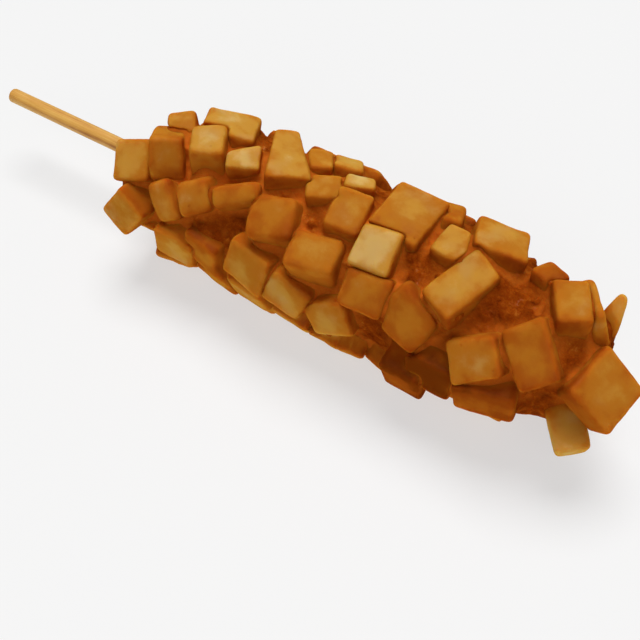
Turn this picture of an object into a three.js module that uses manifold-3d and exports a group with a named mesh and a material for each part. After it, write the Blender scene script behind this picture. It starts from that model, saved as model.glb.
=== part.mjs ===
// A fried corn dog coated in diced potato, lying on its side on a wooden stick.
// Millimetres, +Z up. The stick and the food share one axis along X, with the food's tip at +X.
import * as THREE from "three";
import { ConvexGeometry } from "three/addons/geometries/ConvexGeometry.js";
import { mergeVertices } from "three/addons/utils/BufferGeometryUtils.js";
import Module from "manifold-3d";

const wasm = await Module();
wasm.setup();

// Driving dimensions.
const STICK_DIAMETER = 4.8;
const STICK_DROP = 0.6; // of the stick below the axis of the food
const STICK_START = -45; // the free end
const STICK_LENGTH = 157; // the last 95 mm are inside the food
const STICK_END_CHAMFER = 0.7;
const BATTER_OUTLINE = [
  // along the axis, radius
  [16, 0],
  [17, 7],
  [23, 13],
  [34, 18],
  [52, 19.7],
  [108, 19.7],
  [136, 17.8],
  [150, 17],
  [157, 14.5],
  [162, 11.5],
  [165.5, 7],
  [167.5, 0],
];
const BATTER_CRAG = 0.7; // height of the lumps of the crust
const BATTER_MOUNDS = [
  // broad swellings near the tip, and a hollow nearer to the stick
  { along: 135, around: 24, height: 4, length: 14, width: 26 },
  { along: 161, around: 50, height: 5.5, length: 6, width: 26 },
  { along: 153, around: 108, height: 3.5, length: 6, width: 16 },
  { along: 48, around: 33, height: -3, length: 8, width: 11 },
];
const BATTER_ROWS = 21; // along the axis, closer at both ends
const ROUND_SEGMENTS = 22;
const AXIS_HEIGHT = 25.2; // of the food's axis above what it lies on
const DIE_PROUD = 5.1; // how far an ordinary potato die of the far side stands out of the batter
const DIE_CHAMFER = 0.6;
const DIE_UNEVENNESS = 0.5; // how far a corner of a die strays
const GAP = 0.3; // clearance between neighbouring solids
const MERGE_DISTANCE = 1e-4; // between corners that are one
const UNDER_FLOOR = [400, 200, 50]; // a block below the surface that the food lies on

const BATTER_LOOK = { color: 0x8f4412, roughness: 0.7 };
const POTATO_LOOK = { color: 0xcf8a38, roughness: 0.5 };
const STICK_LOOK = { color: 0xd9a95c, roughness: 0.6 };

// Seeded draws between -1 and 1.
const DRAW_RANGE = 2 ** 32;
let seed = 11;
function draw() {
  seed = (seed * 1664525 + 1013904223) % DRAW_RANGE;
  return (seed / DRAW_RANGE) * 2 - 1;
}

// Solids.
function solidFrom(geometry) {
  const bare = geometry.clone();
  bare.deleteAttribute("normal");
  bare.deleteAttribute("uv");
  const merged = mergeVertices(bare, MERGE_DISTANCE);
  return new wasm.Manifold(
    new wasm.Mesh({
      numProp: 3,
      vertProperties: new Float32Array(merged.attributes.position.array),
      triVerts: new Uint32Array(merged.index.array),
    }),
  );
}

function largestPiece(solid) {
  return solid.decompose().reduce((a, b) => (b.volume() > a.volume() ? b : a));
}

function meshFrom(solid, name, look) {
  const { numProp, vertProperties, triVerts } = solid.getMesh();
  const positions = new Float32Array((vertProperties.length / numProp) * 3);
  for (let i = 0; i < positions.length / 3; i++) {
    positions.set(vertProperties.subarray(i * numProp, i * numProp + 3), i * 3);
  }
  const geometry = new THREE.BufferGeometry();
  geometry.setAttribute("position", new THREE.BufferAttribute(positions, 3));
  geometry.setIndex(new THREE.BufferAttribute(new Uint32Array(triVerts), 1));
  geometry.computeVertexNormals();
  const mesh = new THREE.Mesh(geometry, new THREE.MeshStandardMaterial({ ...look, metalness: 0 }));
  mesh.name = name;
  return mesh;
}

// Potato dice. A die stands on the food at a place along the axis and an angle around it, counted
// from the top towards the side at -Y. Its own axes are: along the food, up the side, outwards.
function dieAxes({ along, around, outer, size, spin, lean, pitch }) {
  const angle = THREE.MathUtils.degToRad(around);
  const outwards = new THREE.Vector3(0, -Math.sin(angle), Math.cos(angle));
  const alongFood = new THREE.Vector3(1, 0, 0);
  const upSide = new THREE.Vector3().crossVectors(outwards, alongFood);
  const placed = new THREE.Matrix4().makeBasis(alongFood, upSide, outwards);
  placed.setPosition(
    outwards.clone().multiplyScalar(outer - size[2] / 2).add(new THREE.Vector3(along, 0, AXIS_HEIGHT)),
  );
  const turns = [
    new THREE.Matrix4().makeRotationZ(THREE.MathUtils.degToRad(spin)),
    new THREE.Matrix4().makeRotationX(THREE.MathUtils.degToRad(lean)),
    new THREE.Matrix4().makeRotationY(THREE.MathUtils.degToRad(pitch)),
  ];
  turns.forEach((turn) => placed.multiply(turn));
  return placed;
}

// The eight corners, pushed out by grow. Bits 0, 1 and 2 of a corner's number say which end of each axis it
// is at. A die may taper towards the far end of its first axis: 1 is square, 0 comes to an edge.
function dieCorners(die, shifts, grow) {
  return shifts.map((shift, corner) => {
    const sign = [0, 1, 2].map((axis) => (corner & (1 << axis) ? 1 : -1));
    const narrow = sign[0] > 0 ? die.taper : 1;
    const at = sign.map((s, axis) => s * ((die.size[axis] / 2) * (axis ? narrow : 1) + grow) + shift[axis]);
    return new THREE.Vector3(...at);
  });
}

// The point near a corner where the chamfers leave the edge that runs along one axis.
function chamferPoint(corners, corner, edgeAxis, size) {
  const point = new THREE.Vector3();
  corners.forEach((other, index) => {
    const weights = [0, 1, 2].map((axis) => {
      const share = axis === edgeAxis ? 0 : DIE_CHAMFER / size[axis];
      return (corner ^ index) & (1 << axis) ? share : 1 - share;
    });
    point.addScaledVector(other, weights[0] * weights[1] * weights[2]);
  });
  return point;
}

function hullAt(points, place) {
  const geometry = new ConvexGeometry(points);
  geometry.applyMatrix4(place);
  return solidFrom(geometry);
}

function makeDie(die) {
  const shifts = Array.from({ length: 8 }, () => [draw(), draw(), draw()].map((d) => d * DIE_UNEVENNESS));
  const place = dieAxes(die);
  const corners = dieCorners(die, shifts, 0);
  const chamfered = () =>
    corners.flatMap((_, corner) =>
      [0, 1, 2].map((edgeAxis) => chamferPoint(corners, corner, edgeAxis, die.size)),
    );
  const points = die.sharp ? corners : chamfered();
  return {
    body: hullAt(points, place),
    cutter: hullAt(dieCorners(die, shifts, GAP), place),
  };
}

// Single dice of the shown side, from the stick end to the tip, the proudest first where two meet.
// along mm, around degrees, outer mm, size mm [along, up the side, outwards],
// spin about outwards, lean about along, pitch about up the side, taper.
const SHOWN_DICE = [
  [24, 46, 24.2, [12, 12, 10], 20, 0, 0, 1],
  [32, 27, 25.5, [10.5, 12.5, 13], 15, 42, 20, 1],
  [44, 15, 27, [10.5, 12, 13], 32, -10, 8, 1],
  [44.5, -10, 25.5, [16, 13, 10], 24, 0, 6, 1],
  [32.8, 8, 24, [9, 12, 9], 38, 0, 0, 1],
  [55.5, 12, 26, [10, 8.5, 11], 207, -8, -8, 0.6],
  [66, -5.5, 26.9, [20.5, 12.6, 9], 125, 3, -12, 0.58],
  [38, 62, 24, [7.5, 12.5, 8], 33, 5, 0, 1],
  [60, 37, 25.5, [15, 6, 8], 29, 0, 0, 1],
  [47.9, 49.5, 25, [9.8, 10.5, 10], 33, 8, 0, 1],
  [73.5, 42, 26.5, [13.5, 12.5, 11], 18, -12, 2, 1],
  [25.5, 84, 26.2, [15, 11.5, 11.5], 55, 0, 0, 1],
  [74, -16, 25, [8, 10, 8], 30, 0, 0, 1],
  [79.8, -27, 25.3, [10, 9, 8], 30, 0, 0, 1],
  [88.5, -11, 24.8, [9, 6.5, 8], 22, 0, 0, 1],
  [81.5, 7, 24.5, [10.5, 8.5, 8], 26, 0, 0, 1],
  [91, 16, 25.2, [10.5, 13, 8], 8, 0, 6, 1],
  [88.5, 54, 27, [14.5, 11, 12], 12, -30, 10, 1],
  [104.5, 31, 26.8, [11.8, 11.8, 10], 4, 4, 0, 1],
  [106, 58, 26.6, [13.5, 12, 10], 2, -8, 2, 1],
  [105.8, 0.5, 26.3, [15, 17.5, 9], 0, 3, 6, 1],
  [129, 30, 27, [18, 11, 9], 66, -5, 8, 1],
  [130.7, -10, 26.7, [14.8, 13, 9], 19, 0, 10, 1],
  [122.5, 8.5, 26.2, [11.5, 10.5, 9], -6, -5, -8, 1],
  [113.8, -20, 25, [8.5, 13, 8], 15, -5, 0, 1],
  [119.5, 61, 26.5, [14.5, 14, 10], 70, 3, 0, 1],
  [139.7, 66.3, 26.6, [14, 11.3, 10], 34, -12, 0, 1],
  [152, 48, 27.2, [11, 16, 11.5], 40, 0, 0, 1],
  [154.6, 11, 26, [9, 13, 11], 30, -3, 5, 1],
  [146.3, -4, 24.8, [7.5, 7.5, 8], -20, 0, 0, 1],
  [159.3, -3, 24, [4.5, 14, 12], 35, -3, -20, 1],
  [162.6, -40, 18.2, [12.5, 4, 7], 0, 0, -86, 0.36],
  [164.8, 106, 25, [8.8, 8, 14.4], -6, 8, 40, 1],
  [168.6, 57.5, 18.2, [15.5, 15.5, 9], 57, 19, 45, 1],
  [144, 90, 26.4, [16, 11, 9], 4, 5, 10, 1],
  [121, 109, 28, [12.5, 13, 11], 3, 0, 0, 1],
  [129, 93, 26.5, [14, 12, 9], 0, 0, 0, 1],
].map(([along, around, outer, size, spin, lean, pitch, taper]) => ({
  along, around, outer, size, spin, lean, pitch, taper,
}));

// Dice of the far side and the underside stand in rings, where they stick together in clumps.
const RING_START = 26;
const RING_PITCH = 14.4;
const RING_SPANS = [
  // from and to degrees around, clear of the single dice: the tip is barer
  [100, 285],
  [80, 317],
  [66, 317],
  [56, 317],
  [71, 317],
  [73, 317],
  [122, 317],
  [122, 317],
  [106, 262],
  [170, 250],
];
const DIE_SPACING = 34; // degrees between dice that stick together
const RING_DIE_SHARE = 36; // degrees of the ring for each die, with the gaps between clumps
const CLUMP_STRAY = 3; // degrees that the middle of a clump strays
const SUNK_FROM = 280; // degrees around, from where the dice sit deeper in the batter
const SUNK_BY = 2.2;
const UNDERSIDE = 60; // degrees each way from the bottom, where the dice have no chamfers
const RING_DIE_SIDE = 12.6;
const RING_DIE_DEPTH = 12;
const RING_DIE_STRAY = {
  along: 1.8, around: 2, outer: 0.7, length: 1.8, width: 1.2, spin: 26, lean: 7, pitch: 8,
};

function ringDie(along, around) {
  const stray = RING_DIE_STRAY;
  const sunk = around > SUNK_FROM ? SUNK_BY : 0;
  return {
    along: along + draw() * stray.along,
    around: around + draw() * stray.around,
    outer: batterRadius(along) + DIE_PROUD - sunk + draw() * stray.outer,
    size: [RING_DIE_SIDE + draw() * stray.length, RING_DIE_SIDE + draw() * stray.width, RING_DIE_DEPTH],
    spin: draw() * stray.spin,
    lean: draw() * stray.lean,
    pitch: draw() * stray.pitch,
    taper: 1,
    sharp: Math.abs(around - 180) < UNDERSIDE,
  };
}

function ringClumps() {
  const clumps = [];
  RING_SPANS.forEach(([from, to], ring) => {
    const along = RING_START + ring * RING_PITCH;
    const count = Math.round((to - from) / RING_DIE_SHARE);
    const sizes = [Math.ceil(count / 2), Math.floor(count / 2)];
    let reached = from;
    sizes.forEach((size) => {
      const share = ((to - from) * size) / count;
      const middle = reached + share / 2 + draw() * CLUMP_STRAY;
      reached += share;
      const dice = Array.from({ length: size }, (_, place) =>
        ringDie(along, middle + (place - (size - 1) / 2) * DIE_SPACING),
      );
      clumps.push(dice);
    });
  });
  return clumps;
}

// Dice that stick to the blunt end of the tip, in one clump below the axis.
const CAP_DICE = 3;
const CAP_OUTER = 12.5;
const CAP_SPREAD = [150, 225]; // degrees around
const CAP_ALONG = 161.5;
const CAP_DIE_SIZE = [9, 12, 11.5];
const CAP_DIE_TURN = 12; // degrees that a die strays in spin, lean and pitch

function capClump() {
  const [from, to] = CAP_SPREAD;
  return Array.from({ length: CAP_DICE }, (_, place) => ({
    along: CAP_ALONG + draw(),
    around: from + ((to - from) * place) / (CAP_DICE - 1),
    outer: CAP_OUTER + draw(),
    size: CAP_DIE_SIZE,
    spin: draw() * CAP_DIE_TURN,
    lean: draw() * CAP_DIE_TURN,
    pitch: draw() * CAP_DIE_TURN,
    taper: 1,
    sharp: true,
  }));
}

// Batter: a blunt spindle with a lumpy crust, narrower where the stick goes in and towards the tip.
// The lumps are crossed waves along the food and around it, with broad mounds and a hollow between the
// shown dice.
const batterSpline = new THREE.CubicInterpolant(
  BATTER_OUTLINE.map(([along]) => along),
  BATTER_OUTLINE.map(([, radius]) => radius),
  1,
);
const batterRadius = (along) => batterSpline.evaluate(along)[0];

function mound(along, angle, { height, length, width, ...middle }) {
  const down = (along - middle.along) / length;
  const across = (THREE.MathUtils.radToDeg(angle) - middle.around) / width;
  return height * Math.exp(-(down ** 2 + across ** 2) / 2);
}

function crag(along, angle) {
  const waves =
    Math.sin(along * 0.55 + 3 * angle) * Math.cos(5 * angle - along * 0.21) +
    0.6 * Math.sin(along * 1.1 - 4 * angle);
  return BATTER_MOUNDS.reduce((sum, each) => sum + mound(along, angle, each), BATTER_CRAG * waves);
}

function batterSolid() {
  const start = BATTER_OUTLINE[0][0];
  const length = BATTER_OUTLINE[BATTER_OUTLINE.length - 1][0] - start;
  const profile = Array.from({ length: BATTER_ROWS + 1 }, (_, row) => {
    const along = start + (length * (1 - Math.cos((Math.PI * row) / BATTER_ROWS))) / 2;
    return new THREE.Vector2(row % BATTER_ROWS ? batterRadius(along) : 0, along);
  });
  const geometry = new THREE.LatheGeometry(profile, ROUND_SEGMENTS);
  const at = geometry.attributes.position;
  for (let i = 0; i < at.count; i++) {
    const radius = Math.hypot(at.getX(i), at.getZ(i));
    if (radius < 1) continue; // the two poles stay
    const angle = Math.atan2(at.getX(i), at.getZ(i));
    const scale = 1 + crag(at.getY(i), angle) / radius;
    at.setX(i, at.getX(i) * scale);
    at.setZ(i, at.getZ(i) * scale);
  }
  geometry.rotateZ(-Math.PI / 2);
  geometry.translate(0, 0, AXIS_HEIGHT);
  return solidFrom(geometry);
}

// Stick: a round bar with a broken edge at each end.
function stickSolid(diameter, from, to) {
  const radius = diameter / 2;
  const profile = [
    [0, from],
    [radius - STICK_END_CHAMFER, from],
    [radius, from + STICK_END_CHAMFER],
    [radius, to - STICK_END_CHAMFER],
    [radius - STICK_END_CHAMFER, to],
    [0, to],
  ].map(([r, along]) => new THREE.Vector2(r, along));
  const geometry = new THREE.LatheGeometry(profile, ROUND_SEGMENTS);
  geometry.rotateZ(-Math.PI / 2);
  geometry.translate(0, 0, AXIS_HEIGHT - STICK_DROP);
  return solidFrom(geometry);
}

const STICK_TIP = STICK_START + STICK_LENGTH;
const stick = stickSolid(STICK_DIAMETER, STICK_START, STICK_TIP);
const bore = stickSolid(STICK_DIAMETER + 2 * GAP, STICK_START, STICK_TIP + GAP);
const underFloor = solidFrom(new THREE.BoxGeometry(...UNDER_FLOOR).translate(0, 0, -UNDER_FLOOR[2] / 2));

// Each later die gives way to the ones already standing.
const standing = [bore, underFloor];
const potatoes = [];
function stand(dice, name) {
  const made = dice.map(makeDie);
  const body = made.reduce((sum, die) => (sum ? sum.add(die.body) : die.body), null);
  const cut = standing.reduce((rest, cutter) => rest.subtract(cutter), body);
  made.forEach((die) => standing.push(die.cutter));
  potatoes.push([name, largestPiece(cut)]);
}
const twoDigits = (index) => String(index + 1).padStart(2, "0");
SHOWN_DICE.forEach((die, index) => stand([die], `potato_${twoDigits(index)}`));
[...ringClumps(), capClump()].forEach((clump, index) => stand(clump, `potato_clump_${twoDigits(index)}`));

const batter = largestPiece(standing.reduce((rest, cutter) => rest.subtract(cutter), batterSolid()));

const group = new THREE.Group();
group.name = "corn_dog";
group.add(meshFrom(stick, "stick", STICK_LOOK));
group.add(meshFrom(batter, "batter", BATTER_LOOK));
potatoes.forEach(([name, solid]) => group.add(meshFrom(solid, name, POTATO_LOOK)));

// The origin is the middle of the footprint, on the surface that the corn dog lies on.
const extent = new THREE.Box3().setFromObject(group);
group.position.set(-(extent.min.x + extent.max.x) / 2, -(extent.min.y + extent.max.y) / 2, -extent.min.z);

export default group;
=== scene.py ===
"""The looks of a corn dog coated in diced potato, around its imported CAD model.

The batter and the dice are shaped as distance fields on voxel grids and meshed from them, so that
the crust climbs the dice and runs between them. The single dice of the shown side are one piece, and
the clumps of dice all round the rest are another. The stick is turned from a profile. Lengths are in
metres, in the frame of the CAD.
"""

import math

import bpy
import numpy as np
import openvdb
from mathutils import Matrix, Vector


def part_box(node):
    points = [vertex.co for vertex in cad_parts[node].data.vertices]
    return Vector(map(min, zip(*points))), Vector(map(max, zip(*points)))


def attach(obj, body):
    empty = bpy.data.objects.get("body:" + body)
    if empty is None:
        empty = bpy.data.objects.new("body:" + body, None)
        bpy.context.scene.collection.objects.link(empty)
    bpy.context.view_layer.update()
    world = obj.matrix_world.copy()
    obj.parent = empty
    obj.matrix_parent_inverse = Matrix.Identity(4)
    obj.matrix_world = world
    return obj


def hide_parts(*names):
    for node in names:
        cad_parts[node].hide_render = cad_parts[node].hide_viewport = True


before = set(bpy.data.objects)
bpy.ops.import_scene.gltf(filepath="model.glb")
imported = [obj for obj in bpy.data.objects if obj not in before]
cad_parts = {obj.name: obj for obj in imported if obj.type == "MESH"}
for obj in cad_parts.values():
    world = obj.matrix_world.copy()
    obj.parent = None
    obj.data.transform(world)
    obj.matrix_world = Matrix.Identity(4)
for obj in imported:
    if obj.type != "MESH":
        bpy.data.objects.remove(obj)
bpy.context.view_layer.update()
scene = bpy.context.scene

MM = 0.001

# ---------------------------------------------------------------- the food's own places
# The food lies along X. A place on it is how far along it is, how far round from the top towards -Y,
# and how far out from its axis.
STICK_START = -45 * MM  # where along the food the free end of the stick is
STICK_DROP = 0.6 * MM  # of the stick below the axis of the food
stick_low, stick_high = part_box("stick")
ORIGIN = np.array([
    stick_low.x - STICK_START,
    (stick_low.y + stick_high.y) / 2,
    (stick_low.z + stick_high.z) / 2 + STICK_DROP,
])
BATTER_OUTLINE = np.array([  # along the axis and radius, in mm
    [16, 0], [17, 7], [23, 13], [34, 18], [52, 19.7], [108, 19.7],
    [136, 17.8], [150, 17], [157, 14.5], [162, 11.5], [165.5, 7], [167.5, 0],
])
BATTER_MOUNDS = [  # three swellings near the tip and a hollow nearer to the stick, in mm and degrees
    {"along": 135, "around": 24, "height": 4, "length": 14, "width": 26},
    {"along": 161, "around": 50, "height": 5.5, "length": 6, "width": 26},
    {"along": 153, "around": 108, "height": 3.5, "length": 6, "width": 16},
    {"along": 48, "around": 33, "height": -3, "length": 8, "width": 11},
]
SINGLE_DICE = sorted(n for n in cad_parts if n.startswith("potato_") and "clump" not in n)
DICE_CLUMPS = sorted(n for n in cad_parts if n.startswith("potato_clump_"))

# ---------------------------------------------------------------- shares, directions and noise
SMALLEST = 1e-12  # nothing is divided by less
PLACE_PRIMES = (73856093, 19349663, 83492791)
SEED_PRIME = 50331653
MIXING = ((2246822519, 15), (3266489917, 13), (668265263, 16))  # factor and shift of each round
WORD = 2**32


def share_between(low, high, value):
    """0 up to low, 1 from high on, and in proportion between them."""
    return np.clip((value - low) / (high - low), 0, 1)


def smoothstep(low, high, value):
    """The same share, eased at both ends."""
    share = share_between(low, high, value)
    return share * share * (3 - 2 * share)


def unit(vectors):
    """The vectors at a length of 1."""
    return vectors / np.maximum(np.linalg.norm(vectors, axis=-1, keepdims=True), SMALLEST)


def lattice(cells, seed):
    """A random number between -1 and 1 for each whole-numbered place."""
    x, y, z = (cells[..., axis].astype(np.int64) * prime for axis, prime in enumerate(PLACE_PRIMES))
    mixed = x ^ y ^ z ^ (seed * SEED_PRIME)
    for factor, shift in MIXING:
        mixed = (mixed & (WORD - 1)) * factor & (WORD - 1)
        mixed ^= mixed >> shift
    return mixed / (WORD / 2) - 1


def cell_corners(share):
    """The eight corners of a cell, each with its weight for points at that share of the cell's sides."""
    for corner in range(8):
        bits = np.array([corner & 1, corner >> 1 & 1, corner >> 2 & 1])
        yield bits, np.prod(np.where(bits, share, 1 - share), axis=-1)


def noise(points, size, seed):
    """Smooth noise between -1 and 1 with features of about that size."""
    places = np.asarray(points) / size
    base = np.floor(places)
    share = smoothstep(0, 1, places - base)
    return sum(weight * lattice(base + bits, seed) for bits, weight in cell_corners(share))


def ridges(points, size, seed):
    """Noise between -1 and 1 with sharp ridges and round hollows."""
    return 1 - np.abs(noise(points, size, seed)) * 2


# ---------------------------------------------------------------- grids and meshes
FLATNESS = 0.04  # how readily the mesher joins faces that lie in one plane
OUTSIDE = 3  # voxels, the distance that stands for everything farther out
BLUR_REACH = 2.5  # times its sigma, where a blur is cut off
UPWARD = (0.25, 0.75)  # the upward part of a normal, from hardly looking up to looking up


def face_normals(points, faces):
    """A normal for each face, as long as twice its area."""
    corners = [points[faces[:, corner]] for corner in range(faces.shape[1])]
    if len(corners) == 3:
        return np.cross(corners[1] - corners[0], corners[2] - corners[0])
    return np.cross(corners[2] - corners[0], corners[3] - corners[1])


def point_normals(points, parts):
    """A unit normal for each point from its faces, which come as arrays of triangles and quads."""
    total = np.zeros_like(points)
    for faces in parts:
        normals = face_normals(points, faces)
        for corner in range(faces.shape[1]):
            np.add.at(total, faces[:, corner], normals)
    return unit(total)


def facing_up(normals):
    """1 where a surface looks up, and 0 where it stands upright or looks down."""
    return smoothstep(*UPWARD, normals[:, 2])


class Grid:
    """A box of voxels. Its values are arrays of its shape: lengths or shares at the voxels' places."""

    def __init__(self, low, high, voxel):
        self.voxel = voxel
        self.first = np.floor(np.asarray(low) / voxel).astype(int)
        self.shape = tuple(np.ceil(np.asarray(high) / voxel).astype(int) - self.first + 1)

    def axes(self):
        """The places of the voxels along X, Y and Z."""
        return [(self.first[a] + np.arange(self.shape[a])) * self.voxel for a in range(3)]

    def points(self, mask):
        """The places of the voxels where the mask is true."""
        return (np.argwhere(mask) + self.first) * self.voxel

    def distances(self, points, triangles, reach):
        """The signed distance to a closed mesh, cut off at reach."""
        level = openvdb.FloatGrid.createLevelSetFromPolygons(
            points.astype(np.float32),
            triangles=triangles.astype(np.uint32),
            transform=openvdb.createLinearTransform(voxelSize=self.voxel),
            halfWidth=reach / self.voxel,
        )
        values = np.empty(self.shape, np.float32)
        level.copyToArray(values, ijk=tuple(self.first.tolist()))
        return values

    def filling(self, distances):
        """How full each voxel is of what the distances are to: 1 inside it, 0 outside."""
        return np.clip(0.5 - distances / self.voxel, 0, 1)

    def blurred(self, values, sigma):
        """A Gaussian blur of the values, sigma being a length."""
        sigma_voxels = sigma / self.voxel
        reach = math.ceil(BLUR_REACH * sigma_voxels)
        kernel = np.exp(-0.5 * (np.arange(-reach, reach + 1) / sigma_voxels) ** 2)
        kernel /= kernel.sum()
        for axis in range(3):
            padding = [(reach, reach) if a == axis else (0, 0) for a in range(3)]
            padded = np.pad(values, padding, mode="edge")
            length = values.shape[axis]
            values = sum(
                weight * np.take(padded, range(shift, shift + length), axis=axis)
                for shift, weight in enumerate(kernel.astype(np.float32))
            )
        return values

    def surface(self, values):
        """The surface where the values pass through 0, with fewer faces where it is flat.

        The result is its points and its faces, which are an array of triangles and one of quads.
        """
        level = openvdb.FloatGrid(float(self.voxel * OUTSIDE))
        level.transform = openvdb.createLinearTransform(voxelSize=self.voxel)
        level.copyFromArray(values.astype(np.float32), ijk=tuple(self.first.tolist()))
        points, triangles, quads = level.convertToPolygons(0.0, FLATNESS)
        points = points.astype(float)
        middle = points.mean(0)
        outwards = sum(
            np.einsum("ij,ij->", points[faces[:, 0]] - middle, face_normals(points, faces))
            for faces in (triangles, quads)
        )
        return points, [faces if outwards > 0 else faces[:, ::-1] for faces in (triangles, quads)]

    def sample(self, values, points):
        """The values at any points, from the eight voxels round each."""
        places = np.asarray(points) / self.voxel - self.first
        base = np.clip(np.floor(places).astype(int), 0, np.array(self.shape) - 2)
        share = np.clip(places - base, 0, 1)
        return sum(weight * values[tuple((base + bits).T)] for bits, weight in cell_corners(share))


def merged(a, b, width):
    """The union of two distance fields, with a fillet of about that width where they meet."""
    share = np.clip(width - np.abs(a - b), 0, None) / width
    return np.minimum(a, b) - share * share * width / 4


def node_mesh(names):
    """The points and triangles of some CAD nodes together."""
    points, triangles, count = [], [], 0
    for name in names:
        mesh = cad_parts[name].data
        mesh.calc_loop_triangles()
        at = np.empty(len(mesh.vertices) * 3)
        mesh.vertices.foreach_get("co", at)
        corners = np.empty(len(mesh.loop_triangles) * 3, int)
        mesh.loop_triangles.foreach_get("vertices", corners)
        points.append(at.reshape(-1, 3))
        triangles.append(corners.reshape(-1, 3) + count)
        count += len(mesh.vertices)
    return np.concatenate(points), np.concatenate(triangles)


def face_list(parts):
    """Arrays of triangles and quads as one list of faces."""
    return [face for faces in parts for face in faces.tolist()]


def piece(name, points, faces, attributes, material, replaced):
    """A smooth shaded mesh object that rides on the root body, in place of some nodes."""
    mesh = bpy.data.meshes.new(name)
    mesh.from_pydata(points.tolist(), [], faces)
    mesh.validate()
    mesh.shade_smooth()
    for key, values in attributes.items():
        mesh.attributes.new(key, "FLOAT", "POINT").data.foreach_set("value", values.astype(np.float32))
    mesh.materials.append(material)
    made = bpy.data.objects.new(name, mesh)
    scene.collection.objects.link(made)
    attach(made, "root")
    print(name, sum(len(face) - 2 for face in faces), "triangles")
    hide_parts(*replaced)


# ---------------------------------------------------------------- materials
# The materials read what the meshes carry at each point:
#   crevice  0 in the open, up to 1 where food stands close all round, which is where the painted glow goes
#   up       1 where the surface looks up
#   relief   how far the fine lumps of the crust rise
#   crumb    1 on a crumb
#   tone     how brown the die is coloured: its frying, with painted shade on a few dice and painted light on one
#   rim      0 at the middle of a die's face, 1 at its edges
#   wall     0 on the outer face of a die, 1 on its sides
#   above    how far the point is above the crust's climb up the die
#   soaked   1 where the stick has soaked up oil
WIDE, BROAD, MIDDLE = (0.2, 0.8), (0.25, 0.75), (0.3, 0.7)  # from low to high values of a noise
MIX_SHARE, MIX_A, MIX_B, MIX_RESULT = 0, 6, 7, 2  # the sockets of a Mix node for colours


class Nodes:
    """A short way to write a material's nodes."""

    def __init__(self, name):
        self.material = bpy.data.materials.new(name)
        self.material.use_nodes = True
        self.tree = self.material.node_tree
        self.shader = self.tree.nodes["Principled BSDF"]

    def put(self, kind, inputs=(), **settings):
        node = self.tree.nodes.new(kind)
        for key, value in settings.items():
            setattr(node, key, value)
        for key, value in dict(inputs).items():
            self.set(node.inputs[key], value)
        return node

    def set(self, socket, value):
        """Links another socket to this one, or gives it a plain value."""
        if isinstance(value, bpy.types.NodeSocket):
            self.tree.links.new(value, socket)
        else:
            socket.default_value = value

    def shaded(self, inputs):
        """The material, once these inputs of its shader are set."""
        for key, value in inputs.items():
            self.set(self.shader.inputs[key], value)
        return self.material

    def position(self):
        return self.put("ShaderNodeTexCoord").outputs["Object"]

    def attribute(self, name):
        return self.put("ShaderNodeAttribute", attribute_name=name).outputs["Fac"]

    def math(self, operation, a, b, c=0.0, clamp=False):
        return self.put(
            "ShaderNodeMath", {0: a, 1: b, 2: c}, operation=operation, use_clamp=clamp
        ).outputs[0]

    def total(self, first, *others):
        """The sum of some values, kept between 0 and 1."""
        for value in others[:-1]:
            first = self.math("ADD", first, value)
        return self.math("ADD", first, others[-1], clamp=True)

    def noise(self, place, size, detail, roughness=0.55, distortion=0.0):
        return self.put(
            "ShaderNodeTexNoise",
            {
                "Vector": place,
                "Scale": 1 / size,
                "Detail": detail,
                "Roughness": roughness,
                "Distortion": distortion,
            },
        ).outputs["Fac"]

    def spread(self, value, low, high, to_low=0.0, to_high=1.0):
        """Value from low to high becomes to_low to to_high, eased at both ends."""
        return self.put(
            "ShaderNodeMapRange",
            {0: value, 1: low, 2: high, 3: to_low, 4: to_high},
            interpolation_type="SMOOTHSTEP",
        ).outputs[0]

    def ramp(self, value, stops):
        node = self.put("ShaderNodeValToRGB", {"Fac": value})
        ramp = node.color_ramp
        ramp.interpolation = "EASE"
        while len(ramp.elements) < len(stops):
            ramp.elements.new(0.5)
        for element, (at, colour) in zip(ramp.elements, stops):
            element.position = at
            element.color = (*colour, 1)
        return node.outputs["Color"]

    def mix(self, share, a, b):
        """Colour a, going over to b as share goes from 0 to 1. Share and a are sockets, b is a colour."""
        inputs = {MIX_SHARE: share, MIX_A: a, MIX_B: (*b, 1)}
        return self.put("ShaderNodeMix", inputs, data_type="RGBA").outputs[MIX_RESULT]

    def bump(self, height, distance, strength, normal=None):
        inputs = {"Height": height, "Distance": distance, "Strength": strength}
        if normal is not None:
            inputs["Normal"] = normal
        return self.put("ShaderNodeBump", inputs).outputs[0]


POTATO_STOPS = [  # from pale to dark brown
    (0.0, (0.62, 0.39, 0.125)),
    (0.22, (0.53, 0.255, 0.036)),
    (0.45, (0.45, 0.156, 0.012)),
    (0.65, (0.37, 0.093, 0.006)),
    (0.82, (0.28, 0.057, 0.004)),
    (1.0, (0.16, 0.031, 0.002)),
]
POTATO_BLOTCHES = (-0.11, 0.04)  # how much browner each noise makes a place
POTATO_MOTTLE = (-0.03, 0.03)
POTATO_GRAIN = (-0.01, 0.01)
CRUSTED = 0.7  # how brown the dice are where the crust covers them, and the tone their sides go towards, partly as painted shade
FOOT_HEIGHTS, FOOT_BARE = (-1 * MM, 4 * MM), (0.1, 1)  # above the climb, and how bare a die is there
WALL_HEIGHTS, WALL_CRUST_AND_SHADE = (4 * MM, 10 * MM), (-0.8, -0.65)  # and what comes off that on its sides, which makes them browner, partly as crust stain and partly as painted shade
RIM_BROWNING, RIM_UNEVEN = 0.24, (0.6, 1.1)
POTATO_FLESH = (0.50, 0.30, 0.12)  # where less browned potato shows through
FLESH_PATCHES, FLESH_SHARE = (0.5, 0.7), (0, 0.3)
FLESH_TONES = (0.25, 0.5)  # from pale dice, which show it, to browned ones, which don't
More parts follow.
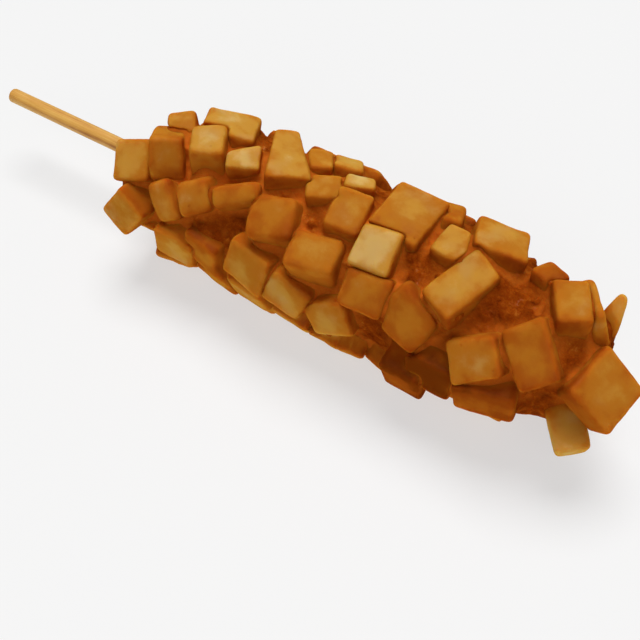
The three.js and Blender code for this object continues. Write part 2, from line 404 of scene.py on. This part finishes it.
POTATO_GLOW, POTATO_GLOW_SHARE = (0.66, 0.19, 0.012), 0.7  # painted glow: the orange that the base colour goes over to in the gaps, standing in for light that comes through there
POTATO_OILY, POTATO_COAT = (0.42, 0.7), (0, 0.05)  # the blotches with oil on them, and how much


def potato_material():
    n = Nodes("fried_potato")
    place = n.position()
    patch = n.noise(place, size=11 * MM, detail=1)
    blotch = n.noise(place, size=6.5 * MM, detail=1.5)
    mottle = n.noise(place, size=1.8 * MM, detail=3)
    grain = n.noise(place, size=0.5 * MM, detail=3, roughness=0.6)
    above = n.attribute("above")
    # The sides of a die are browner: partly stained by the crust, and partly painted shade on the sides the
    # light reaches less.
    wall_crust_and_shade = n.math("MULTIPLY", n.attribute("wall"), n.spread(above, *WALL_HEIGHTS, *WALL_CRUST_AND_SHADE))
    bare = n.math("MULTIPLY", n.math("ADD", wall_crust_and_shade, 1), n.spread(above, *FOOT_HEIGHTS, *FOOT_BARE))
    fried = n.math("MULTIPLY_ADD", bare, n.math("SUBTRACT", n.attribute("tone"), CRUSTED), CRUSTED)
    rim = n.math("MULTIPLY", n.attribute("rim"), n.spread(blotch, *MIDDLE, *RIM_UNEVEN))
    fried = n.total(
        n.math("MULTIPLY_ADD", rim, RIM_BROWNING, fried),
        n.spread(blotch, *BROAD, *POTATO_BLOTCHES),
        n.spread(mottle, *BROAD, *POTATO_MOTTLE),
        n.spread(grain, *WIDE, *POTATO_GRAIN),
    )
    pale = n.spread(fried, *FLESH_TONES, 1, 0)
    flesh = n.math("MULTIPLY", n.spread(patch, *FLESH_PATCHES, *FLESH_SHARE), pale)
    colour = n.mix(flesh, n.ramp(fried, POTATO_STOPS), POTATO_FLESH)
    # Painted glow: in the gaps between the food the base colour goes over to an orange, standing in for
    # light that comes through there.
    glow = n.math("MULTIPLY", n.attribute("crevice"), POTATO_GLOW_SHARE)
    coat = n.math("MULTIPLY", n.spread(blotch, *POTATO_OILY, *POTATO_COAT), n.attribute("up"))
    shape = n.bump(mottle, distance=0.12 * MM, strength=0.5)
    return n.shaded({
        "Base Color": n.mix(glow, colour, POTATO_GLOW),
        "Roughness": n.spread(mottle, *WIDE, to_low=0.36, to_high=0.56),
        "Subsurface Weight": 0.8,
        "Subsurface Radius": (1.0, 0.45, 0.15),
        "Subsurface Scale": 5.5 * MM,
        "Specular IOR Level": 0,
        "Coat Weight": coat,
        "Coat Roughness": 0.4,
        "Normal": n.bump(grain, distance=0.04 * MM, strength=0.4, normal=shape),
    })


BATTER_STOPS = [  # from dark to pale; the hollows of the relief get the dark as painted shade
    (0.0, (0.12, 0.016, 0.001)),
    (0.35, (0.22, 0.035, 0.002)),
    (0.6, (0.30, 0.057, 0.003)),
    (0.85, (0.44, 0.13, 0.014)),
    (1.0, (0.56, 0.24, 0.04)),
]
# The crust is darker down in the hollows of its relief and paler on its lumps: painted shade.
RELIEF_HEIGHTS, RELIEF_TONES = (-0.5 * MM, 0.7 * MM), (0.18, 0.58)
BATTER_BLOTCHES = (-0.14, 0.12)  # how much paler each noise makes a place
BATTER_LUMPS = (-0.2, 0.2)
BATTER_GRAIN = (-0.12, 0.13)
CRUMB_TONE = 0.2
BATTER_GLOW, BATTER_GLOW_SHARE = (0.70, 0.17, 0.014), 0.8  # painted glow: the orange that the base colour goes over to in the gaps, standing in for light that comes through there
BATTER_OILY, OILY_GRAIN = (0.55, 0.7), (0.48, 0.6)  # the lumps and the grain with oil on them
BATTER_COAT = (0, 0.3)


def batter_material():
    n = Nodes("fried_batter")
    place = n.position()
    blotch = n.noise(place, size=7 * MM, detail=2)
    lumps = n.noise(place, size=1.9 * MM, detail=4, roughness=0.6, distortion=0.4)
    grain = n.noise(place, size=0.45 * MM, detail=3, roughness=0.65)
    tone = n.total(
        n.spread(n.attribute("relief"), *RELIEF_HEIGHTS, *RELIEF_TONES),
        n.spread(blotch, *MIDDLE, *BATTER_BLOTCHES),
        n.spread(lumps, *BROAD, *BATTER_LUMPS),
        n.spread(grain, *BROAD, *BATTER_GRAIN),
        n.math("MULTIPLY", n.attribute("crumb"), CRUMB_TONE),
    )
    # Painted glow: in the gaps between the food the crust's base colour goes over to an orange, standing in
    # for light that comes through there.
    glow = n.math("MULTIPLY", n.attribute("crevice"), BATTER_GLOW_SHARE)
    oily = n.math("MULTIPLY", n.spread(lumps, *BATTER_OILY), n.spread(grain, *OILY_GRAIN, *BATTER_COAT))
    shape = n.bump(lumps, distance=0.45 * MM, strength=0.9)
    return n.shaded({
        "Base Color": n.mix(glow, n.ramp(tone, BATTER_STOPS), BATTER_GLOW),
        "Roughness": n.spread(lumps, *BROAD, to_low=0.3, to_high=0.5),
        "Subsurface Weight": 0.4,
        "Subsurface Radius": (1.0, 0.3, 0.08),
        "Subsurface Scale": 1.2 * MM,
        "Specular IOR Level": 0,
        "Coat Weight": n.math("MULTIPLY", oily, n.attribute("up")),
        "Coat Roughness": 0.2,
        "Normal": n.bump(grain, distance=0.12 * MM, strength=0.7, normal=shape),
    })


STICK_STOPS = [  # from pale wood to wood darkened by oil
    (0.0, (0.77, 0.44, 0.10)),
    (0.5, (0.67, 0.33, 0.058)),
    (0.85, (0.47, 0.185, 0.025)),
    (1.0, (0.31, 0.10, 0.01)),
]
STICK_STREAKS = (0.1, 0.75)  # how dark each noise makes a place
STICK_FIBRES = (-0.2, 0.25)
STICK_BLOTCHES = (-0.1, 0.1)
SOAKED_TONE = 0.4
ALONG_THE_STICK = (0.03, 1, 1)  # draws the noises out along X


def stick_material():
    n = Nodes("bamboo_stick")
    place = n.position()
    stretched = n.put("ShaderNodeMapping", {"Vector": place, "Scale": ALONG_THE_STICK}).outputs[0]
    fibre = n.noise(stretched, size=0.35 * MM, detail=4, roughness=0.65)
    streak = n.noise(stretched, size=1.3 * MM, detail=3, roughness=0.6)
    blotch = n.noise(place, size=9 * MM, detail=2)
    tone = n.total(
        n.spread(streak, *BROAD, *STICK_STREAKS),
        n.spread(fibre, *WIDE, *STICK_FIBRES),
        n.spread(blotch, *MIDDLE, *STICK_BLOTCHES),
        n.spread(n.attribute("soaked"), 0, 1, 0, SOAKED_TONE),
    )
    return n.shaded({
        "Base Color": n.ramp(tone, STICK_STOPS),
        "Roughness": n.spread(fibre, *WIDE, to_low=0.45, to_high=0.65),
        "Normal": n.bump(fibre, distance=0.06 * MM, strength=0.7),
    })


def floor_material():
    return Nodes("pale_floor").shaded({
        "Base Color": (0.34, 0.34, 0.34, 1),
        "Roughness": 0.9,
        "Specular IOR Level": 0,
        "Emission Color": (1, 1, 1, 1),
        "Emission Strength": 0.555,
    })


POTATO, BATTER, STICK = potato_material(), batter_material(), stick_material()

# ---------------------------------------------------------------- the fields of the dice and the core
FOOD_VOXEL = 0.5 * MM
FOOD_MARGIN = 3 * MM
FIELD_REACH = 6 * MM  # from the dice, where their field is cut off
DICE_ROUNDING, SOFT_ROUNDING = 0.6 * MM, 1.0 * MM
SOFT_DICE = [f"potato_{number:02}" for number in (3, 8, 9, 10, 11, 18, 20, 26)]  # with softer edges
TABLE_LENGTH, TABLE_WIDTH, TABLE_STEP = 185, 45, 0.5  # mm along the food and out from its axis
BEFORE_LAST = 1.001  # rows, so that every place in the table has a row after it
OUTLINE_POINTS = 400
MOUND_BAND, LUMP_BAND = 12 * MM, 4 * MM  # from the surface of the core, where it is given its shape
LUMPS = ((9 * MM, 0.7 * MM, 1), (4 * MM, 0.4 * MM, 2))  # size, height, seed

dice_corners, _ = node_mesh(SINGLE_DICE + DICE_CLUMPS)
food = Grid(dice_corners.min(0) - FOOD_MARGIN, dice_corners.max(0) + FOOD_MARGIN, FOOD_VOXEL)


def rounded_dice(nodes, rounding):
    """The distance to the dice of some nodes, with rounded edges."""
    return food.blurred(food.distances(*node_mesh(nodes), FIELD_REACH), rounding)


def core_table():
    """The distance to the batter's outline, by the place along the food and out from its axis."""
    along = np.arange(0, TABLE_LENGTH, TABLE_STEP)
    out = np.arange(0, TABLE_WIDTH, TABLE_STEP)
    outline_along = np.linspace(BATTER_OUTLINE[0, 0], BATTER_OUTLINE[-1, 0], OUTLINE_POINTS)
    outline_out = np.interp(outline_along, *BATTER_OUTLINE.T)
    a, r = np.meshgrid(along, out, indexing="ij")
    far = np.sqrt((a[..., None] - outline_along) ** 2 + (r[..., None] - outline_out) ** 2).min(-1)
    inside = r < np.interp(along, *BATTER_OUTLINE.T, left=-1, right=-1)[:, None]
    return np.where(inside, -far, far) * MM


def table_place(lengths, rows):
    """The row of the table at or before each length, and how far on from it the length is."""
    places = np.clip(lengths / (TABLE_STEP * MM), 0, rows - BEFORE_LAST)
    row = places.astype(int)
    return row, places - row


def mound(points, shape):
    """The height of one of the batter's mounds at some points."""
    across, up = (points[:, axis] - ORIGIN[axis] for axis in (1, 2))
    around = np.degrees(np.arctan2(-across, up)) - shape["around"]
    along = (points[:, 0] - ORIGIN[0]) / MM - shape["along"]
    spread = (along / shape["length"]) ** 2 + (around / shape["width"]) ** 2
    return shape["height"] * MM * np.exp(-spread / 2)


def core_distances():
    """The distance to the batter's core, which is the batter without its climb up the dice."""
    table = core_table()
    x, y, z = food.axes()
    out = np.hypot((y - ORIGIN[1])[:, None], (z - ORIGIN[2])[None, :])
    i, i_share = table_place(x - ORIGIN[0], table.shape[0])
    j, j_share = table_place(out, table.shape[1])
    rows = table[i] * (1 - i_share)[:, None] + table[i + 1] * i_share[:, None]
    core = (rows[:, j] * (1 - j_share) + rows[:, j + 1] * j_share).astype(np.float32)
    near = np.abs(core) < MOUND_BAND
    near_points = food.points(near)
    for shape in BATTER_MOUNDS:
        core[near] -= mound(near_points, shape)
    near = np.abs(core) < LUMP_BAND
    near_points = food.points(near)
    for size, height, seed in LUMPS:
        core[near] -= height * noise(near_points, size, seed)
    return core


crisp_dice = [node for node in SINGLE_DICE + DICE_CLUMPS if node not in SOFT_DICE]
dice_field = np.minimum(
    rounded_dice(crisp_dice, DICE_ROUNDING), rounded_dice(SOFT_DICE, SOFT_ROUNDING)
)
core_field = core_distances()

# ---------------------------------------------------------------- the field of the batter
FILLET_WIDTH = (1.8 * MM, 5.4 * MM)
FILLET_PATCH, FILLET_SEED = 14 * MM, 3  # how far the climb of the batter stays alike
DICE_INSET = 0.5 * MM  # the crust lies this far inside the dice where it doesn't climb them
GAP_BLUR = 1.9 * MM
GAP_FILL = 0.67  # share of food round a point from which batter fills a gap
BLURRED_EDGE = 2.5  # times its sigma, over which a blur makes an edge fall from 1 to 0
CREVICE_BLUR = 2.2 * MM
CREVICE_SHARES = (0.53, 0.79)  # of food round a point, from the open to deep in a crevice


def fillet_width(points):
    """How wide the fillet is between the batter and a die."""
    low, high = FILLET_WIDTH
    return low + (high - low) * (0.5 + 0.5 * noise(points, FILLET_PATCH, FILLET_SEED))


def climb_height(points):
    """How far up the wall of a die that fillet reaches."""
    width = fillet_width(points)
    return width + DICE_INSET - 2 * np.sqrt(width * DICE_INSET)


def batter_distances():
    """The distance to the batter with its climb up the dice, and with narrow gaps filled."""
    fillet = np.full(food.shape, sum(FILLET_WIDTH) / 2, np.float32)
    climbing = (np.abs(core_field) < FILLET_WIDTH[1]) & (np.abs(dice_field) < FILLET_WIDTH[1])
    fillet[climbing] = fillet_width(food.points(climbing))
    climbed = merged(core_field, dice_field + DICE_INSET, fillet)
    filled = food.blurred(food.filling(np.minimum(core_field, dice_field)), GAP_BLUR)
    return np.minimum(climbed, (GAP_FILL - filled) * GAP_BLUR * BLURRED_EDGE)


batter_field = batter_distances()
food_share = food.blurred(food.filling(np.minimum(batter_field, dice_field)), CREVICE_BLUR)


def crevices(points):
    """0 in the open, and towards 1 as more food stands round a point."""
    return share_between(*CREVICE_SHARES, food.sample(food_share, points))


# ---------------------------------------------------------------- batter
CRUST_RELIEF = ((2.9 * MM, 0.34 * MM, 11), (1.3 * MM, 0.14 * MM, 12))  # size, height, seed
RELIEF_MEAN = 0.1 * MM  # taken off, so that the relief doesn't swell the crust
RELIEF_BAND = 1.6 * MM  # from the surface of the batter, where it is given its relief
BURIED, CLEAR = 0.8 * MM, 1.2 * MM  # no relief this deep inside a die, and all of it this clear of one
SHOWN_CRUMBS = [  # along mm, around degrees, radius mm
    [131.5, 45, 1.3],
    [112.5, 24, 1.2],
    [83, 31, 1.1],
    [137, -44, 1.7],
    [150, 30, 1.0],
]
CRUST_SEARCH = np.arange(12, 26, 0.1) * MM  # the places out from the axis where the crust may be
LOOSE_CRUMBS, CRUMB_SEED = 170, 5
LOOSE_CRUMB_RADIUS = (0.45 * MM, 1.05 * MM)
LOOSE_CRUMB_CLEAR = 0.5 * MM  # of the dice
CRUMB_SIZE, CRUMB_UNEVEN, CRUMB_NOISE_SEED = 1.4, 0.35, 13  # size and height of its noise, in radii
CRUMB_REACH = 1.5  # radii
CRUMB_FILLET = 0.9 * MM
CRUMB_EDGE = 0.5 * MM  # over which the tone of a crumb fades
NO_CRUMB = 5 * MM  # the distance that stands for everything farther from one


def crust_relief(points):
    """How far the fine lumps of the crust rise at some points."""
    rise = sum(height * ridges(points, size, seed) for size, height, seed in CRUST_RELIEF) - RELIEF_MEAN
    return rise * smoothstep(-BURIED, CLEAR, food.sample(dice_field, points))


def crumb_places():
    """The middle and the radius of each crumb that sticks to the bare crust."""
    places = []
    for along, around, radius in SHOWN_CRUMBS:
        angle = math.radians(around)
        outwards = np.array([0, -math.sin(angle), math.cos(angle)])
        ray = ORIGIN + np.array([along * MM, 0, 0]) + CRUST_SEARCH[:, None] * outwards
        surface = np.argmax(food.sample(batter_field, ray) > 0)
        places.append((ray[surface], radius * MM))
    points, _ = food.surface(batter_field)
    bare = points[food.sample(dice_field, points) > LOOSE_CRUMB_CLEAR]
    draws = np.random.default_rng(CRUMB_SEED)
    low, high = LOOSE_CRUMB_RADIUS
    for place in bare[draws.integers(0, len(bare), LOOSE_CRUMBS)]:
        largeness = draws.random() ** 2  # most are small
        places.append((place, low + (high - low) * largeness))
    return places


def add_crumbs():
    """Joins the crumbs to the batter's field. The result is the distance to the crumbs alone."""
    alone = np.full(food.shape, NO_CRUMB, np.float32)
    for middle, radius in crumb_places():
        reach = radius * CRUMB_REACH + CRUMB_FILLET
        low = np.maximum(np.floor((middle - reach) / food.voxel).astype(int) - food.first, 0)
        high = np.ceil((middle + reach) / food.voxel).astype(int) - food.first + 1
        box = tuple(slice(a, b) for a, b in zip(low, high))
        points = food.points(np.ones(alone[box].shape, bool)) + low * food.voxel
        distance = np.linalg.norm(points - middle, axis=1) - radius
        distance += CRUMB_UNEVEN * radius * noise(points, CRUMB_SIZE * radius, CRUMB_NOISE_SEED)
        distance = distance.reshape(alone[box].shape).astype(np.float32)
        alone[box] = np.minimum(alone[box], distance)
        batter_field[box] = merged(batter_field[box], distance, CRUMB_FILLET)
    return alone


def batter_piece():
    """The whole crust, with its crumbs and its relief, in one mesh."""
    crumb_field = add_crumbs()
    near = np.abs(batter_field) < RELIEF_BAND
    batter_field[near] -= crust_relief(food.points(near))
    points, faces = food.surface(batter_field)
    points[:, 2] = np.maximum(points[:, 2], 0)
    attributes = {
        "relief": crust_relief(points),
        "crevice": crevices(points),
        "crumb": 1 - smoothstep(0, CRUMB_EDGE, food.sample(crumb_field, points)),
        "up": facing_up(point_normals(points, faces)),
    }
    piece("batter_crust", points, face_list(faces), attributes, BATTER, ["batter"])


batter_piece()

# ---------------------------------------------------------------- dice
SHOWN_VOXEL, FAR_VOXEL = 0.36 * MM, 0.6 * MM
DICE_MARGIN, DICE_REACH, DICE_BAND = 4, 3.5, 2.5  # voxels: round a die, of its field, and where it is shaped
DICE_UNEVEN = ((7 * MM, 0.28 * MM, 21), (2.6 * MM, 0.09 * MM, 22))  # size, height, seed
RIM_BLUR = 3.2 * MM
FLAT_SHARE, EDGE_SHARE = 0.5, 0.22  # of potato round a point on a flat face, and on an edge
OUTER_POWER = 6  # how much more the faces count that look straight out
BARE_ALL_ROUND = ("potato_31", "potato_32", "potato_33")  # these stand clear of the crust
# Mostly how brown a die is fried; the underside dice 35 to 37 are darkest partly as painted shade, and die
# 33 is paler as painted light against the shade of the die above it.
SHOWN_TONES = [  # how brown each single die is coloured: 0 is pale, 1 is brown
    0.24, 0.28, 0.12, 0.16, 0.14, -0.02, 0.2, 0.32,
    0.38, 0.38, 0.46, 0.28, 0.22, 0.16, 0.0, 0.30,
    0.34, 0.38, -0.02, 0.44, 0.32, 0.24, 0.28, 0.16,
    0.44, 0.52, 0.38, 0.47, 0.38, 0.48, 0.30, 0.05,
    0.12, 0.37, 0.66, 0.8, 1.0,
]
FAR_TONE, FAR_TONE_STRAY, FAR_TONE_SEED = 0.36, 0.14, 8  # of the clumps


def outward_directions(points):
    """The way out of the batter at some points, from how the distance to its core changes."""
    slopes = []
    for axis in range(3):
        shift = np.eye(3)[axis] * FOOD_VOXEL
        slopes.append(food.sample(core_field, points + shift) - food.sample(core_field, points - shift))
    return unit(np.stack(slopes, -1))


def outer_direction(points, parts):
    """The way the outer face of a single die looks."""
    total = np.zeros(3)
    for faces in parts:
        normals = face_normals(points, faces)
        out = outward_directions(points[faces].mean(1))
        facing = (unit(normals) * out).sum(1, keepdims=True)
        total += (normals * np.clip(facing, 0, 1) ** OUTER_POWER).sum(0)
    return unit(total)


def die_surface(node, voxel):
    """One node's dice, rounded and uneven, with a share from 0 at the middle of a face to 1 at an edge."""
    corners, triangles = node_mesh([node])
    grid = Grid(corners.min(0) - DICE_MARGIN * voxel, corners.max(0) + DICE_MARGIN * voxel, voxel)
    values = grid.distances(corners, triangles, DICE_REACH * voxel)
    within = grid.blurred(grid.filling(values), RIM_BLUR)
    values = grid.blurred(values, SOFT_ROUNDING if node in SOFT_DICE else DICE_ROUNDING)
    near = np.abs(values) < DICE_BAND * voxel
    near_points = grid.points(near)
    for size, height, seed in DICE_UNEVEN:
        values[near] -= height * noise(near_points, size, seed)
    points, faces = grid.surface(values)
    return points, faces, share_between(FLAT_SHARE, EDGE_SHARE, grid.sample(within, points))


def dice_piece(name, tones, voxel):
    """Every die of some nodes in one mesh, each in its tone."""
    all_points, all_faces, count = [], [], 0
    looks = {"rim": [], "tone": [], "wall": [], "up": []}
    for node, tone in tones.items():
        points, faces, rim = die_surface(node, voxel)
        normals = point_normals(points, faces)
        out = outer_direction(points, faces) if node in SINGLE_DICE else outward_directions(points)
        wall = 1 - np.clip((normals * out).sum(1), 0, 1)
        looks["rim"].append(rim)
        looks["tone"].append(np.full(len(points), tone))
        looks["wall"].append(np.zeros(len(points)) if node in BARE_ALL_ROUND else wall)
        looks["up"].append(facing_up(normals))
        all_points.append(points)
        all_faces += face_list([part + count for part in faces])
        count += len(points)
    points = np.concatenate(all_points)
    points[:, 2] = np.maximum(points[:, 2], 0)
    attributes = {key: np.concatenate(values) for key, values in looks.items()}
    attributes["crevice"] = crevices(points)
    attributes["above"] = food.sample(core_field, points) - climb_height(points)
    piece(name, points, all_faces, attributes, POTATO, list(tones))


draws = np.random.default_rng(FAR_TONE_SEED)
far_tones = {node: FAR_TONE + FAR_TONE_STRAY * draws.uniform(-1, 1) for node in DICE_CLUMPS}
dice_piece("potato_dice", dict(zip(SINGLE_DICE, SHOWN_TONES)), SHOWN_VOXEL)
dice_piece("potato_dice_far", far_tones, FAR_VOXEL)

# ---------------------------------------------------------------- stick
STICK_AROUND, STICK_ROWS = 56, 160
STICK_END_RINGS = (0, 0.4, 0.72)  # of its radius, on the flat of each end
STICK_EDGE, STICK_EDGE_RINGS = 0.7 * MM, 6  # the rounding between an end and the side
STICK_UNEVEN = (0.7 * MM, 0.05 * MM, 31)  # size, height, seed
UNEVEN_STRETCH = np.array([0.05, 1, 1])  # draws that out along X
SOAKED = (6 * MM, 17 * MM)  # along the food, from dry wood to wood soaked in oil


def stick_profile(start, end, radius):
    """Places along X and radii, from the middle of one end of the stick to the middle of the other."""
    near_end = [(start, radius * share) for share in STICK_END_RINGS]
    near_end += [
        (start + STICK_EDGE * (1 - math.cos(turn)), radius - STICK_EDGE * (1 - math.sin(turn)))
        for turn in np.linspace(0, math.pi / 2, STICK_EDGE_RINGS)
    ]
    straight = end - start - 2 * STICK_EDGE
    shares = np.linspace(0, 1, STICK_ROWS)[1:-1]
    side = [(start + STICK_EDGE + straight * share, radius) for share in shares]
    far_end = [(start + end - along, out) for along, out in reversed(near_end)]
    return np.array(near_end + side + far_end)


def ring_faces(rings, around):
    """The faces between rings of points, closed at each end by a point. Those two points come last."""
    faces = []
    for ring in range(rings - 1):
        for k in range(around):
            a, b = ring * around + k, ring * around + (k + 1) % around
            faces.append([a, b, b + around, a + around])
    first, last, last_ring = rings * around, rings * around + 1, (rings - 1) * around
    for k in range(around):
        faces.append([first, (k + 1) % around, k])
        faces.append([last, last_ring + k, last_ring + (k + 1) % around])
    return faces


def stick_piece():
    """The whole stick, with its fibres as shallow ridges."""
    low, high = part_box("stick")
    middle = np.array([0, (low.y + high.y) / 2, (low.z + high.z) / 2])
    profile = stick_profile(low.x, high.x, (high.z - low.z) / 2)
    turns = np.linspace(0, 2 * math.pi, STICK_AROUND, endpoint=False)
    ring = np.stack([np.zeros(STICK_AROUND), -np.sin(turns), np.cos(turns)], -1)
    rings = profile[1:-1]
    points = rings[:, None, 0, None] * np.array([1, 0, 0]) + rings[:, None, 1, None] * ring
    points = points.reshape(-1, 3) + middle
    size, height, seed = STICK_UNEVEN
    rise = height * noise(points * UNEVEN_STRETCH, size, seed)
    points = points + np.tile(ring, (len(rings), 1)) * rise[:, None]
    ends = np.array([[profile[0, 0], 0, 0], [profile[-1, 0], 0, 0]]) + middle
    points = np.concatenate([points, ends])
    soaked = smoothstep(*SOAKED, points[:, 0] - ORIGIN[0])
    faces = ring_faces(len(rings), STICK_AROUND)
    piece("wooden_stick", points, faces, {"soaked": soaked}, STICK, ["stick"])


stick_piece()

# ---------------------------------------------------------------- floor, light and camera
FLOOR_SIZE = 4
FLOOR_DROP = 0.1 * MM  # below the food
WORLD_STRENGTH = 0.14
AIM_ALONG, AIM_HEIGHT = 78.26 * MM, -11.67 * MM  # of the point that the camera looks at
CAMERA_AZIMUTH, CAMERA_ELEVATION = math.radians(33.51), math.radians(50)
CAMERA_DISTANCE = 320 * MM
CAMERA_LENS, SENSOR_WIDTH = 56.37, 36  # mm

bpy.ops.mesh.primitive_plane_add(size=FLOOR_SIZE, location=(0, 0, -FLOOR_DROP))
floor = bpy.context.object
floor.name = "floor"
floor.data.materials.append(floor_material())

scene.view_settings.view_transform = "Standard"

world = bpy.data.worlds.new("soft_studio")
world.use_nodes = True
background = world.node_tree.nodes["Background"]
background.inputs["Color"].default_value = (1, 1, 1, 1)
background.inputs["Strength"].default_value = WORLD_STRENGTH
scene.world = world


def area_light(name, place, aim, size, power):
    """A round white light that looks from its place at its aim."""
    light = bpy.data.lights.new(name, "AREA")
    light.shape = "DISK"
    light.size = size
    light.energy = power
    made = bpy.data.objects.new(name, light)
    made.location = place
    made.rotation_euler = (Vector(aim) - Vector(place)).to_track_quat("-Z", "Y").to_euler()
    scene.collection.objects.link(made)


area_light("key", place=(-0.25, 0.6, 2.65), aim=(0, 0, 0), size=1.8, power=64)
area_light("fill", place=(0.55, -1.0, 0.85), aim=(0.05, 0, 0.02), size=1.2, power=6.5)

back = Vector((
    math.sin(CAMERA_AZIMUTH) * math.cos(CAMERA_ELEVATION),
    -math.cos(CAMERA_AZIMUTH) * math.cos(CAMERA_ELEVATION),
    math.sin(CAMERA_ELEVATION),
))
camera = bpy.data.objects.new("camera", bpy.data.cameras.new("camera"))
camera.data.lens = CAMERA_LENS
camera.data.sensor_width = SENSOR_WIDTH
camera.location = Vector((ORIGIN[0] + AIM_ALONG, ORIGIN[1], AIM_HEIGHT)) + back * CAMERA_DISTANCE
camera.rotation_euler = (-back).to_track_quat("-Z", "Y").to_euler()
scene.collection.objects.link(camera)
scene.camera = camera
